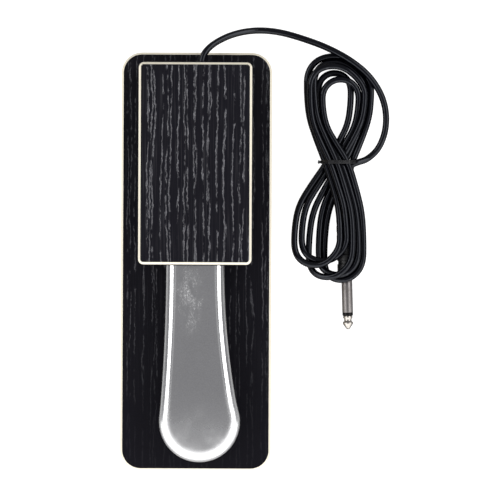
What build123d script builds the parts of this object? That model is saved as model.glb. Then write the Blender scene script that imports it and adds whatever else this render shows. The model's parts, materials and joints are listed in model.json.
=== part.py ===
from build123d import *
import os
from math import cos, pi, radians, sin, tan

# Sustain pedal, millimetres. X runs to the right, +Y to the rear where the cable leaves,
# +Z up. The origin is the middle of the footprint on the surface that the feet stand on.

# ---- Base: rubber feet, a fibreboard base and its black laminate ----
base_width = 88.0
base_length = 244.0
base_corner = 12.0
board_thickness = 8.5
laminate_thickness = 0.5
edge_bevel = 1.3
foot_height = 3.0
foot_radius = 9.0
foot_inset = 12.0

# ---- Lever: one pressed sheet, a channel that widens to a round toe ----
lever_half_width = 17.3
lever_sheet = 2.0
lever_rise = 21.5
lever_depth = 9.5
shoulder_radius = 5.5
toe_radius = 23.5
toe_margin = 6.4
toe_shift = 2.6
press_angle = 3.0

# ---- Pivot: bracket, pin, clips and bushes ----
pivot_inset = 42.0
pivot_rise = 10.0
pin_radius = 2.5
running_gap = 0.05
seat_gap = 0.02
bush_wall = 1.0
bush_flange = 0.7
bush_flange_radius = 5.0
lug_radius = 6.5
lug_back = 8.0
ear_gap = 1.0
bracket_sheet = 2.0
bracket_half_length = 10.0
ear_radius = 6.0
clip_thickness = 0.6
clip_gap = 0.25
pin_overhang = 1.7
pin_gap = 1.25

# ---- Housing: four glued walls, a top board, and a black film round the outside ----
housing_length = 116.0
housing_rear_step = 8.0
housing_corner = 3.5
wall_thickness = 9.0
top_thickness = 8.5
film_thickness = 0.5
rail_height = 6.0

# ---- Screws ----
wood_screw_radius = 2.0
wood_screw_bite = 18.0
wood_screw_head = 4.0
rear_screw_x = 16.0
small_screw_radius = 1.7
small_screw_head = 3.0
small_head_height = 2.0
foot_head_height = 1.4
small_screw_bite = 7.0
hole_slack = 0.4
sink_slack = 0.3
bracket_screw_x = 8.0
plate_screw_x = 6.0
plate_screw_back = 3.4
switch_screw_radius = 1.0
switch_screw_head = 1.9
switch_head_height = 1.4

# ---- Return spring, stops ----
spring_distance = 37.0
spring_radius = 5.3
spring_wire = 1.4
spring_pitch = 3.3
seat_disc_radius = 8.0
seat_disc_height = 1.5
seat_post_radius = 4.0
seat_post_height = 7.0
stem_radius = 2.5
stem_length = 7.0
bumper_setback = 8.5
bumper_foot_radius = 7.0
bumper_top_radius = 5.5
felt_thickness = 1.3
up_stop_gap = 0.2
felt_half_width = 14.0
felt_length = 6.5
contact_gap = 0.1

# ---- Switch ----
switch_distance = 22.0
switch_half_width = 9.9
switch_depth = 6.4
switch_height = 10.2
switch_hole_spacing = 9.5
switch_hole_rise = 2.5
plunger_radius = 1.2
plunger_gap = 0.3
plunger_reach = 2.0
plunger_length = 5.2
plunger_well = 1.6
plunger_ease = 0.08
terminal_width = 2.8
terminal_sheet = 0.5
terminal_length = 4.0
terminal_spacing = 7.0
switch_plate = 1.2
switch_plate_foot = 8.0

# ---- Cable: grommet, clip, cores, lead, hank, tie ----
cord_radius = 1.9
cord_x = 2.6
cord_rise = 7.5
grommet_radius = 4.5
grommet_flange_radius = 6.5
grommet_flange = 1.5
grommet_mouth = 0.9
cord_ease = 0.05
cord_joint_inset = 2.9
clip_back = 6.5
clip_width = 8.0
clip_band = 1.0
clip_tail = 9.0
core_radius = 0.65
core_offset = 0.9
stub_tail = 6.0

# ---- Plug: a 6.35 mm two-pole jack ----
plug_radius = 3.175
sleeve_length = 22.8
collar_length = 1.3
handle_radius = 5.35
handle_length = 34.7
relief_length = 13.5
relief_small = 2.5
relief_large = 4.3
groove_depth = 0.5
groove_width = 1.8
groove_pitch = 5.6
groove_count = 5
plug_tilt = 1.7
plug_start = Vector(86.7, 41.0, handle_radius)

# ---- Levels and places worked out from the sizes above ----
board_bottom = foot_height
board_top = board_bottom + board_thickness
base_top = board_top + laminate_thickness
lever_top = base_top + lever_rise
rail_bottom = lever_top + up_stop_gap + felt_thickness
wall_top = rail_bottom + rail_height
wall_height = wall_top - base_top
top_board_top = wall_top + top_thickness

housing_rear = base_length / 2 - housing_rear_step
housing_front = housing_rear - housing_length
pivot_y = housing_rear - pivot_inset
pivot_z = base_top + pivot_rise
ear_inner = lever_half_width + ear_gap
ear_outer = ear_inner + bracket_sheet
pin_half_length = ear_outer + pin_overhang
cavity_half_width = pin_half_length + pin_gap
shell_width = 2 * (cavity_half_width + wall_thickness)
housing_width = shell_width + 2 * film_thickness
shell_front = housing_front + film_thickness
shell_rear = housing_rear - film_thickness
shell_length = shell_rear - shell_front
shell_middle = (shell_front + shell_rear) / 2
shell_corner = housing_corner - film_thickness
cavity_front = shell_front + wall_thickness
cavity_rear = shell_rear - wall_thickness

lever_under = lever_top - lever_sheet
lever_skirt = lever_top - lever_depth
lever_rear = pivot_y + lug_back
toe_centre = -base_length / 2 + toe_margin + toe_radius
opening_half_width = lever_half_width + ear_gap

spring_y = pivot_y - spring_distance
switch_y = pivot_y - switch_distance
bumper_y = cavity_front + bumper_setback
cord_z = base_top + cord_rise
clip_y = cavity_rear - clip_back
clip_screw_x = cord_x - cord_radius - clip_band - clip_tail / 2


def lever_drop(y):
    """How far the lever's underside comes down at y when it is pressed to its stop."""
    return (pivot_y - y) * tan(radians(press_angle)) + (lever_under - pivot_z) * (1 - cos(radians(press_angle)))


# Screw places, shared by the pieces that they pass through.
post_x = (opening_half_width + shell_width / 2) / 2
wall_screws = [(side * x, y) for side in (-1, 1)
               for x, y in ((post_x, shell_front + wall_thickness / 2),
                            (rear_screw_x, shell_rear - wall_thickness / 2))]
foot_places = [(x, y) for x in (-base_width / 2 + foot_inset, base_width / 2 - foot_inset)
               for y in (-base_length / 2 + foot_inset, base_length / 2 - foot_inset)]
bracket_screws_at = [(-bracket_screw_x, pivot_y), (bracket_screw_x, pivot_y)]
plate_back = switch_y + switch_depth / 2 + switch_plate
plate_screws_at = [(side * plate_screw_x, plate_back + plate_screw_back) for side in (-1, 1)]
clip_screw_at = (clip_screw_x, clip_y)
top_screws = bracket_screws_at + plate_screws_at + [clip_screw_at]
stem_places = [(0, spring_y), (0, bumper_y)]

# ---------------------------------------------------------------- base
with BuildPart() as base_board:
    with BuildSketch(Plane.XY.offset(board_bottom)):
        RectangleRounded(base_width, base_length, base_corner)
    extrude(amount=board_thickness)
    chamfer(base_board.faces().sort_by(Axis.Z)[-1].edges(), edge_bevel)
    with Locations(*[Location((x, y, board_bottom), (180, 0, 0)) for x, y in wall_screws]):
        CounterSinkHole(wood_screw_radius + seat_gap, wood_screw_head + sink_slack)
    with Locations(*[Location((x, y, board_bottom), (180, 0, 0)) for x, y in foot_places]):
        Hole(small_screw_radius + seat_gap, small_screw_bite + hole_slack)
    with Locations(*[(x, y, board_top) for x, y in top_screws]):
        Hole(small_screw_radius + seat_gap, small_screw_bite)
    with Locations(*[(x, y, board_top) for x, y in stem_places]):
        Hole(stem_radius + running_gap, stem_length + hole_slack)

# The laminate is glued to the board; its edge stops where the bevel begins.
with BuildPart() as base_laminate:
    with BuildSketch(Plane.XY.offset(board_top)):
        RectangleRounded(base_width - 2 * edge_bevel, base_length - 2 * edge_bevel, base_corner - edge_bevel)
        with Locations(*wall_screws):
            Circle(wood_screw_radius + running_gap, mode=Mode.SUBTRACT)
        with Locations(*top_screws):
            Circle(small_screw_radius + running_gap, mode=Mode.SUBTRACT)
        with Locations(*stem_places):
            Circle(stem_radius + running_gap, mode=Mode.SUBTRACT)
    extrude(amount=laminate_thickness)

# Four moulded feet, each with a counterbore that hides its screw head.
foot_seat = foot_height * 0.6
with BuildPart() as rubber_feet:
    with BuildSketch():
        with Locations(*foot_places):
            Circle(foot_radius)
    extrude(amount=foot_height)
    fillet(rubber_feet.edges().group_by(Axis.Z)[0], 0.8)
    with Locations(*[Location((x, y, 0), (180, 0, 0)) for x, y in foot_places]):
        CounterBoreHole(small_screw_radius + running_gap, small_screw_head + 0.4, foot_seat)

with BuildPart() as foot_screws:
    with BuildSketch(Plane.XY.offset(foot_seat - foot_head_height)):
        with Locations(*foot_places):
            Circle(small_screw_head)
    extrude(amount=foot_head_height)
    with BuildSketch(Plane.XY.offset(foot_seat)):
        with Locations(*foot_places):
            Circle(small_screw_radius)
    extrude(amount=foot_height - foot_seat + small_screw_bite)

# ---------------------------------------------------------------- housing
with BuildPart() as front_wall:
    with BuildSketch(Plane.XY.offset(base_top)):
        with Locations((0, shell_front + wall_thickness / 2)):
            Rectangle(shell_width, wall_thickness)
    extrude(amount=wall_height)
    fillet(front_wall.edges().filter_by(Axis.Z).group_by(Axis.Y)[0], shell_corner)
    with BuildSketch(Plane.XZ.offset(-shell_front + 1)):
        with Locations((0, (base_top + rail_bottom) / 2 - 1)):
            Rectangle(2 * opening_half_width, rail_bottom - base_top + 2)
    extrude(amount=-(wall_thickness + 2), mode=Mode.SUBTRACT)
    with Locations(*[Location((x, y, base_top), (180, 0, 0)) for x, y in wall_screws if y < shell_middle]):
        Hole(wood_screw_radius + seat_gap, wood_screw_bite + hole_slack)

with BuildPart() as rear_wall:
    with BuildSketch(Plane.XY.offset(base_top)):
        with Locations((0, shell_rear - wall_thickness / 2)):
            Rectangle(shell_width, wall_thickness)
    extrude(amount=wall_height)
    fillet(rear_wall.edges().filter_by(Axis.Z).group_by(Axis.Y)[-1], shell_corner)
    with BuildSketch(Plane.XZ.offset(-shell_rear)):
        with Locations((cord_x, cord_z)):
            Circle(grommet_radius)
    extrude(amount=wall_thickness, mode=Mode.SUBTRACT)
    with Locations(*[Location((x, y, base_top), (180, 0, 0)) for x, y in wall_screws if y > shell_middle]):
        Hole(wood_screw_radius + seat_gap, wood_screw_bite + hole_slack)

side_wall_x = cavity_half_width + wall_thickness / 2
with BuildPart() as left_wall:
    with BuildSketch(Plane.XY.offset(base_top)):
        with Locations((-side_wall_x, shell_middle)):
            Rectangle(wall_thickness, shell_length - 2 * wall_thickness)
    extrude(amount=wall_height)

with BuildPart() as right_wall:
    with BuildSketch(Plane.XY.offset(base_top)):
        with Locations((side_wall_x, shell_middle)):
            Rectangle(wall_thickness, shell_length - 2 * wall_thickness)
    extrude(amount=wall_height)

with BuildPart() as housing_top:
    with BuildSketch(Plane.XY.offset(wall_top)):
        with Locations((0, shell_middle)):
            RectangleRounded(shell_width, shell_length, shell_corner)
    extrude(amount=top_thickness)
    chamfer(housing_top.faces().sort_by(Axis.Z)[-1].edges(), edge_bevel)

with BuildPart() as housing_top_laminate:
    with BuildSketch(Plane.XY.offset(top_board_top)):
        with Locations((0, shell_middle)):
            RectangleRounded(shell_width - 2 * edge_bevel, shell_length - 2 * edge_bevel,
                             shell_corner - edge_bevel)
    extrude(amount=laminate_thickness)

# The film covers the walls and the top board's edge, up to where the bevel begins.
with BuildPart() as housing_film:
    with BuildSketch(Plane.XY.offset(base_top)):
        with Locations((0, shell_middle)):
            RectangleRounded(housing_width, housing_length, housing_corner)
            RectangleRounded(shell_width, shell_length, shell_corner, mode=Mode.SUBTRACT)
    extrude(amount=top_board_top - edge_bevel - base_top)
    with BuildSketch(Plane.XZ.offset(-housing_front + 1)):
        with Locations((0, (base_top + rail_bottom) / 2 - 1)):
            Rectangle(2 * opening_half_width, rail_bottom - base_top + 2)
    extrude(amount=-(film_thickness + 2), mode=Mode.SUBTRACT)
    with BuildSketch(Plane.XZ.offset(-housing_rear)):
        with Locations((cord_x, cord_z)):
            Circle(grommet_radius)
    extrude(amount=film_thickness, mode=Mode.SUBTRACT)

# Countersunk screws driven up through the base into the end walls.
with BuildPart() as housing_screws:
    with BuildSketch(Plane.XY.offset(board_bottom)):
        with Locations(*wall_screws):
            Circle(wood_screw_radius)
    extrude(amount=base_top - board_bottom + wood_screw_bite)
    with BuildSketch(Plane.XY.offset(board_bottom)):
        with Locations(*wall_screws):
            Circle(wood_screw_head)
    extrude(amount=wood_screw_head - wood_screw_radius, taper=45)

# ---------------------------------------------------------------- pivot
with BuildPart() as pivot_bracket:
    with BuildSketch(Plane.XY.offset(base_top)):
        with Locations((0, pivot_y)):
            Rectangle(2 * ear_outer, 2 * bracket_half_length)
        with Locations(*bracket_screws_at):
            Circle(small_screw_radius + running_gap, mode=Mode.SUBTRACT)
    extrude(amount=bracket_sheet)
    for ear_start in (-ear_outer, ear_inner):
        with BuildSketch(Plane.YZ.offset(ear_start)):
            with Locations((pivot_y, pivot_z)):
                Circle(ear_radius)
            with Locations((pivot_y, base_top + bracket_sheet / 2)):
                Rectangle(2 * bracket_half_length, bracket_sheet)
            make_hull()
            with Locations((pivot_y, pivot_z)):
                Circle(pin_radius + seat_gap, mode=Mode.SUBTRACT)
        extrude(amount=bracket_sheet)

with BuildPart() as bracket_screws:
    with BuildSketch(Plane.XY.offset(base_top + bracket_sheet)):
        with Locations(*bracket_screws_at):
            Circle(small_screw_head)
    extrude(amount=small_head_height)
    fillet(bracket_screws.edges().group_by(Axis.Z)[-1], 0.9)
    with BuildSketch(Plane.XY.offset(base_top + bracket_sheet)):
        with Locations(*bracket_screws_at):
            Circle(small_screw_radius)
    extrude(amount=-(bracket_sheet + small_screw_bite))

groove_radius = pin_radius - 0.5
groove_start = ear_outer + clip_gap - 0.05
with BuildPart() as pivot_pin:
    with BuildSketch(Plane.YZ.offset(-pin_half_length)):
        with Locations((pivot_y, pivot_z)):
            Circle(pin_radius)
    extrude(amount=2 * pin_half_length)
    chamfer(pivot_pin.edges(), 0.4)
    for start, width in ((groove_start, clip_thickness + 0.1), (-groove_start, -clip_thickness - 0.1)):
        with BuildSketch(Plane.YZ.offset(start)):
            with Locations((pivot_y, pivot_z)):
                Circle(pin_radius + 1)
                Circle(groove_radius, mode=Mode.SUBTRACT)
        extrude(amount=width, mode=Mode.SUBTRACT)

with BuildPart() as pivot_clips:
    for start, width in ((ear_outer + clip_gap, clip_thickness), (-ear_outer - clip_gap, -clip_thickness)):
        with BuildSketch(Plane.YZ.offset(start)):
            with Locations((pivot_y, pivot_z)):
                Circle(pin_radius + 1.9)
                Circle(groove_radius + seat_gap, mode=Mode.SUBTRACT)
            with Locations((pivot_y, pivot_z + pin_radius + 1)):
                Rectangle(2 * groove_radius - 0.6, 2 * pin_radius + 2, mode=Mode.SUBTRACT)
        extrude(amount=width)

bush_bore = pin_radius + running_gap
bush_outer = bush_bore + bush_wall
with BuildPart() as pivot_bushes:
    for side in (-1, 1):
        with BuildSketch(Plane.YZ.offset(side * (lever_half_width - lever_sheet))):
            with Locations((pivot_y, pivot_z)):
                Circle(bush_outer)
        extrude(amount=side * lever_sheet)
        with BuildSketch(Plane.YZ.offset(side * lever_half_width)):
            with Locations((pivot_y, pivot_z)):
                Circle(bush_flange_radius)
        extrude(amount=side * bush_flange)
        with BuildSketch(Plane.YZ.offset(side * (lever_half_width - lever_sheet))):
            with Locations((pivot_y, pivot_z)):
                Circle(bush_bore)
        extrude(amount=side * (lever_sheet + bush_flange), mode=Mode.SUBTRACT)

# ---------------------------------------------------------------- lever
# Each side widens on one long arc, which runs smoothly into the round toe. The toe stands a little
# to the right of the middle, so the two arcs differ.
flare_run = housing_front - toe_centre


def flare_end(side, toe):
    """Where a side's long arc runs into a toe of this radius."""
    start = lever_half_width - side * toe_shift
    flare_radius = (flare_run ** 2 + start ** 2 - toe_radius ** 2) / (2 * (toe_radius - start))
    to_arc_centre = Vector(side * (start + flare_radius), flare_run).normalized()
    return toe_shift + toe * to_arc_centre.X, toe_centre + toe * to_arc_centre.Y


def lever_outline(inset, rear):
    """The lever's plan, drawn in by inset all round, with its rear edge at rear."""
    half = lever_half_width - inset
    toe = toe_radius - inset
    right_end = flare_end(1, toe)
    left_end = flare_end(-1, toe)
    with BuildSketch() as outline:
        with BuildLine():
            Line((half, rear), (half, housing_front))
            TangentArc((half, housing_front), right_end, tangent=(0, -1))
            ThreePointArc(right_end, (toe_shift, toe_centre - toe), left_end)
            TangentArc((-half, housing_front), left_end, tangent=(0, -1))
            Line((-half, housing_front), (-half, rear))
            Line((-half, rear), (half, rear))
        make_face()
    return outline.sketch


# The space inside the pressing: the same outline, one sheet thickness in.
core_rear = lever_rear + 5
with BuildPart() as lever_core:
    with BuildSketch(Plane.XY.offset(lever_skirt - 1)):
        add(lever_outline(lever_sheet, core_rear))
    extrude(amount=lever_depth - lever_sheet + 1)
    fillet(lever_core.edges().group_by(Axis.Z)[-1].filter_by(lambda e: e.center().Y < core_rear - 1),
           shoulder_radius - lever_sheet)

with BuildPart() as pedal_lever:
    with BuildSketch(Plane.XY.offset(lever_skirt)):
        add(lever_outline(0, lever_rear))
    extrude(amount=lever_depth)
    fillet(pedal_lever.edges().group_by(Axis.Z)[-1].filter_by(lambda e: e.center().Y < lever_rear - 1),
           shoulder_radius)
    for side in (-1, 1):
        with BuildSketch(Plane.YZ.offset(side * (lever_half_width - lever_sheet))):
            with Locations((pivot_y, pivot_z)):
                Circle(lug_radius)
            with Locations((pivot_y - 2, lever_skirt + 1)):
                Rectangle(2 * lug_back + 4, 2)
            make_hull()
        extrude(amount=side * lever_sheet)
    add(lever_core.part, mode=Mode.SUBTRACT)
    with BuildSketch(Plane.YZ.offset(-lever_half_width)):
        with Locations((pivot_y, pivot_z)):
            Circle(bush_outer + seat_gap)
    extrude(amount=2 * lever_half_width, mode=Mode.SUBTRACT)

# ---------------------------------------------------------------- spring and stops
with BuildPart() as spring_seat:
    with BuildSketch(Plane.XY.offset(board_top - stem_length)):
        with Locations((0, spring_y)):
            Circle(stem_radius)
    extrude(amount=stem_length + laminate_thickness)
    with BuildSketch(Plane.XY.offset(base_top)):
        with Locations((0, spring_y)):
            Circle(seat_disc_radius)
    extrude(amount=seat_disc_height)
    with BuildSketch(Plane.XY.offset(base_top + seat_disc_height)):
        with Locations((0, spring_y)):
            Circle(seat_post_radius)
    extrude(amount=seat_post_height - seat_disc_height)
    fillet(spring_seat.edges().group_by(Axis.Z)[-1], 0.8)

spring_bottom = base_top + seat_disc_height + contact_gap
spring_height = lever_under - contact_gap - spring_bottom
coil_plane = Plane(origin=(0, spring_y, spring_bottom + spring_wire / 2))
with BuildPart() as return_spring:
    with BuildLine(coil_plane) as coil:
        Helix(pitch=spring_pitch, height=spring_height - spring_wire, radius=spring_radius)
    with BuildSketch(coil.line ^ 0):
        Circle(spring_wire / 2)
    sweep(is_frenet=True)

bumper_top = lever_under - lever_drop(bumper_y - bumper_top_radius) - 2 * contact_gap
with BuildPart() as down_stop_bumper:
    with BuildSketch(Plane.XY.offset(base_top)):
        with Locations((0, bumper_y)):
            Circle(bumper_foot_radius)
    with BuildSketch(Plane.XY.offset(bumper_top)):
        with Locations((0, bumper_y)):
            Circle(bumper_top_radius)
    loft()
    fillet(down_stop_bumper.edges().group_by(Axis.Z)[-1], 1.2)
    with BuildSketch(Plane.XY.offset(board_top - stem_length)):
        with Locations((0, bumper_y)):
            Circle(stem_radius)
    extrude(amount=stem_length + laminate_thickness)

# A felt strip glued under the rail of the front wall stops the lever on its way up.
with BuildPart() as up_stop_felt:
    with BuildSketch(Plane.XY.offset(rail_bottom - felt_thickness)):
        with Locations((0, shell_front + wall_thickness / 2)):
            Rectangle(2 * felt_half_width, felt_length)
    extrude(amount=felt_thickness)

# ---------------------------------------------------------------- switch
switch_top = lever_under - plunger_gap - plunger_reach
switch_bottom = switch_top - switch_height
plunger_top = lever_under - plunger_gap
plunger_bottom = plunger_top - plunger_length
switch_holes = [(x, switch_bottom + switch_hole_rise)
                for x in (-switch_hole_spacing / 2, switch_hole_spacing / 2)]
with BuildPart() as switch_body:
    with BuildSketch(Plane.XY.offset(switch_bottom)):
        with Locations((0, switch_y)):
            Rectangle(2 * switch_half_width, switch_depth)
    extrude(amount=switch_height)
    chamfer(switch_body.edges().filter_by(Axis.Z), 0.5)
    with Locations((0, switch_y, switch_top)):
        Hole(plunger_radius + plunger_ease, switch_top - plunger_bottom + plunger_well)
    with BuildSketch(Plane.XZ.offset(-switch_y - switch_depth)):
        with Locations(*switch_holes):
            Circle(switch_screw_radius + running_gap)
    extrude(amount=2 * switch_depth, mode=Mode.SUBTRACT)

with BuildPart() as switch_plunger:
    with BuildSketch(Plane.XY.offset(plunger_bottom)):
        with Locations((0, switch_y)):
            Circle(plunger_radius)
    extrude(amount=plunger_length)
    fillet(switch_plunger.edges().group_by(Axis.Z)[-1], 0.5)

with BuildPart() as switch_terminals:
    with BuildSketch(Plane.XY.offset(switch_bottom - terminal_length)):
        with Locations(*[(x, switch_y) for x in (-terminal_spacing, 0, terminal_spacing)]):
            Rectangle(terminal_width, terminal_sheet)
    extrude(amount=terminal_length)

# An angle plate: a foot on the base and an upright behind the switch.
with BuildPart() as switch_bracket:
    with BuildSketch(Plane.XY.offset(base_top)):
        with Locations((0, plate_back - switch_plate + switch_plate_foot / 2)):
            Rectangle(2 * switch_half_width, switch_plate_foot)
        with Locations(*plate_screws_at):
            Circle(small_screw_radius + running_gap, mode=Mode.SUBTRACT)
    extrude(amount=switch_plate)
    with BuildSketch(Plane.XZ.offset(-plate_back)):
        with Locations((0, (base_top + switch_top) / 2)):
            Rectangle(2 * switch_half_width, switch_top - base_top)
        with Locations(*switch_holes):
            Circle(switch_screw_radius + running_gap, mode=Mode.SUBTRACT)
    extrude(amount=switch_plate)

switch_front = switch_y - switch_depth / 2
with BuildPart() as switch_screws:
    with BuildSketch(Plane.XZ.offset(-switch_front)):
        with Locations(*switch_holes):
            Circle(switch_screw_head)
    extrude(amount=switch_head_height)
    with BuildSketch(Plane.XZ.offset(-switch_front)):
        with Locations(*switch_holes):
            Circle(switch_screw_radius)
    extrude(amount=-(switch_depth + switch_plate + 1))

with BuildPart() as plate_screws:
    with BuildSketch(Plane.XY.offset(base_top + switch_plate)):
        with Locations(*plate_screws_at):
            Circle(small_screw_head - 0.4)
    extrude(amount=small_head_height)
    fillet(plate_screws.edges().group_by(Axis.Z)[-1], 0.7)
    with BuildSketch(Plane.XY.offset(base_top + switch_plate)):
        with Locations(*plate_screws_at):
            Circle(small_screw_radius)
    extrude(amount=-(switch_plate + small_screw_bite))

# ---------------------------------------------------------------- cable inside the housing
with BuildPart() as cable_grommet:
    with BuildSketch(Plane.XZ.offset(-housing_rear)):
        with Locations((cord_x, cord_z)):
            Circle(grommet_flange_radius)
    extrude(amount=-grommet_flange)
    with BuildSketch(Plane.XZ.offset(-housing_rear)):
        with Locations((cord_x, cord_z)):
            Circle(grommet_radius - seat_gap)
    extrude(amount=wall_thickness + film_thickness)
    with BuildSketch(Plane.XZ.offset(-cavity_rear)):
        with Locations((cord_x, cord_z)):
            Circle(grommet_flange_radius - 0.5)
    extrude(amount=grommet_flange)
    with BuildSketch(Plane.XZ.offset(-housing_rear - grommet_flange)):
        with Locations((cord_x, cord_z)):
            Circle(cord_radius + cord_ease)
    extrude(amount=wall_thickness + film_thickness + 2 * grommet_flange, mode=Mode.SUBTRACT)
    chamfer(cable_grommet.edges().group_by(Axis.Y)[-1].sort_by(SortBy.RADIUS)[0], grommet_mouth)

# The jacket ends a little way past its clip, and its two cores go on to the switch.
cord_joint_y = shell_rear - cord_joint_inset
stub_end = clip_y - clip_width / 2 - stub_tail
with BuildPart() as cable_stub:
    with BuildSketch(Plane.XZ.offset(-cord_joint_y)):
        with Locations((cord_x, cord_z)):
            Circle(cord_radius)
    extrude(amount=cord_joint_y - stub_end)

clip_left = cord_x - cord_radius - cord_ease - clip_band
with BuildPart() as cable_clip:
    with BuildSketch(Plane.XZ.offset(-clip_y - clip_width / 2)):
        with Locations((cord_x, cord_z)):
            Circle(cord_radius + cord_ease + clip_band)
        with Locations((clip_left + clip_band / 2, (cord_z + base_top) / 2)):
            Rectangle(clip_band, cord_z - base_top)
        with Locations((clip_left + clip_band - (clip_band + clip_tail) / 2, base_top + clip_band / 2)):
            Rectangle(clip_band + clip_tail, clip_band)
        with Locations((cord_x, cord_z)):
            Circle(cord_radius + cord_ease, mode=Mode.SUBTRACT)
    extrude(amount=clip_width)
    with Locations((clip_screw_x, clip_y, base_top + clip_band)):
        Hole(small_screw_radius + running_gap)

with BuildPart() as clip_screw:
    with BuildSketch(Plane.XY.offset(base_top + clip_band)):
        with Locations(clip_screw_at):
            Circle(small_screw_head)
    extrude(amount=small_head_height)
    fillet(clip_screw.edges().group_by(Axis.Z)[-1], 0.9)
    with BuildSketch(Plane.XY.offset(base_top + clip_band)):
        with Locations(clip_screw_at):
            Circle(small_screw_radius)
    extrude(amount=-(clip_band + small_screw_bite))


def tube_radii(route):
    """Arc radius at each inner point: 0.45 of the shorter run over the tangent of half the turn."""
    points = [Vector(*p) for p in route]
    radii = []
    for before, here, after in zip(points, points[1:], points[2:]):
        run_in = here - before
        run_out = after - here
        half_turn = radians(run_in.get_angle(run_out)) / 2
        radii.append(0.45 * min(run_in.length, run_out.length) / tan(half_turn))
    return radii


# Each core leaves the jacket's end, passes beside the pivot bracket's screws under the pin,
# and meets the outer end of its terminal.
core_x = lever_half_width - lever_sheet - 2.3
core_z = base_top + bracket_sheet + 2.1
terminal_end = terminal_spacing + terminal_width / 2


def core_route(side):
    """Points of one core, from the jacket's end to the terminal on that side."""
    return [(cord_x + side * core_offset, stub_end, cord_z),
            (cord_x + side * core_offset, stub_end - 3.0, cord_z),
            (side * core_x * 0.8, pivot_y + bracket_half_length + 1.0, core_z + 0.6),
            (side * core_x, pivot_y, core_z),
            (side * (core_x + 0.2), pivot_y - bracket_half_length, core_z + 0.2),
            (side * core_x, switch_y + 2.5, switch_bottom - terminal_length / 2 + 0.2),
            (side * terminal_end, switch_y, switch_bottom - terminal_length / 2)]


with BuildPart() as signal_core:
    with BuildLine() as signal_path:
        FilletPolyline(*core_route(-1), radius=tube_radii(core_route(-1)))
    with BuildSketch(signal_path.line ^ 0):
        Circle(core_radius)
    sweep()

with BuildPart() as return_core:
    with BuildLine() as return_path:
        FilletPolyline(*core_route(1), radius=tube_radii(core_route(1)))
    with BuildSketch(return_path.line ^ 0):
        Circle(core_radius)
    sweep()

# ---------------------------------------------------------------- lead outside the housing
# It leaves the rear wall, drops past the base's rear edge to the floor, climbs over the
# outer turn of the hank, and comes round to the hank's waist.
lead_route = [(cord_x, cord_joint_y, cord_z),
              (cord_x, 117.6, cord_z),
              (6.0, 123.6, 18.4),
              (12.8, 129.0, 14.2),
              (22.4, 133.6, 8.6),
              (34.5, 136.0, 3.9),
              (48.0, 135.2, 1.9),
              (62.5, 131.0, 2.7),
              (76.5, 125.6, 5.9),
              (90.0, 118.4, 6.0),
              (101.6, 109.0, 5.3),
              (109.9, 95.6, 2.5),
              (111.6, 80.6, 1.9),
              (107.6, 68.8, 1.9),
              (100.4, 63.0, 1.9),
              (92.9, 61.7, 1.9)]
lead_radii = tube_radii(lead_route)
with BuildPart() as cord_lead:
    with BuildLine() as lead_path:
        FilletPolyline(*lead_route, radius=lead_radii)
    with BuildSketch(lead_path.line ^ 0):
        Circle(cord_radius)
    sweep()

print("lead radii", [round(r, 1) for r in lead_radii])
for side in (-1, 1):
    print("core radii", [round(r, 1) for r in tube_radii(core_route(side))])
for tube, path, radius in ((cord_lead, lead_path, cord_radius), (signal_core, signal_path, core_radius),
                           (return_core, return_path, core_radius)):
    length = sum(edge.length for edge in path.edges())
    print("tube length", round(length, 1), "volume ratio",
          round(tube.part.volume / (length * pi * radius ** 2), 4))

# ---------------------------------------------------------------- plug
plug_axis = Vector(sin(radians(plug_tilt)), -cos(radians(plug_tilt)), 0)
plug_side = Vector(cos(radians(plug_tilt)), sin(radians(plug_tilt)), 0)
plug_plane = Plane(origin=plug_start, x_dir=(0, 0, 1), z_dir=plug_side)
plug_line = Axis(plug_start, plug_axis)
handle_start = relief_length
handle_end = handle_start + handle_length
sleeve_end = handle_end + sleeve_length
collar_end = sleeve_end + collar_length
insulator_radius = 2.0
rod_radius = 1.2
bore_gap = 0.03

# The moulded grip and its tapered strain relief are one piece, with shallow finger grooves.
with BuildPart() as plug_handle:
    with BuildSketch(plug_plane):
        with BuildLine():
            Polyline((0, 0), (relief_small, 0), (relief_large, handle_start), (handle_radius, handle_start + 1.2),
                     (handle_radius, handle_end - 0.8), (handle_radius - 0.8, handle_end), (0, handle_end), close=True)
        make_face()
        for groove in range(groove_count):
            with Locations((handle_radius, handle_start + 5.2 + groove * groove_pitch)):
                Rectangle(2 * groove_depth, groove_width, mode=Mode.SUBTRACT)
    revolve(axis=plug_line)

with BuildPart() as plug_sleeve:
    with BuildSketch(plug_plane):
        with BuildLine():
            Polyline((insulator_radius + bore_gap, handle_end), (plug_radius, handle_end),
                     (plug_radius, sleeve_end), (insulator_radius + bore_gap, sleeve_end), close=True)
        make_face()
    revolve(axis=plug_line)

with BuildPart() as plug_insulator:
    with BuildSketch(plug_plane):
        with BuildLine():
            Polyline((rod_radius + bore_gap, handle_end), (insulator_radius, handle_end),
                     (insulator_radius, sleeve_end), (plug_radius, sleeve_end),
                     (plug_radius, collar_end), (rod_radius + bore_gap, collar_end), close=True)
        make_face()
    revolve(axis=plug_line)

# Rod, neck, ball and cone of the tip contact.
with BuildPart() as plug_tip:
    with BuildSketch(plug_plane):
        with BuildLine():
            Polyline((0, handle_end), (rod_radius, handle_end), (rod_radius, collar_end), (2.6, collar_end),
                     (2.9, collar_end + 1.0), (2.2, collar_end + 2.2), (2.2, collar_end + 3.0),
                     (plug_radius - 0.1, collar_end + 4.0))
            ThreePointArc((plug_radius - 0.1, collar_end + 4.0), (plug_radius, collar_end + 4.4),
                          (plug_radius - 0.1, collar_end + 4.8))
            Polyline((plug_radius - 0.1, collar_end + 4.8), (0.7, collar_end + 8.1), (0, collar_end + 8.2),
                     (0, handle_end))
        make_face()
    revolve(axis=plug_line)

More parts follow.
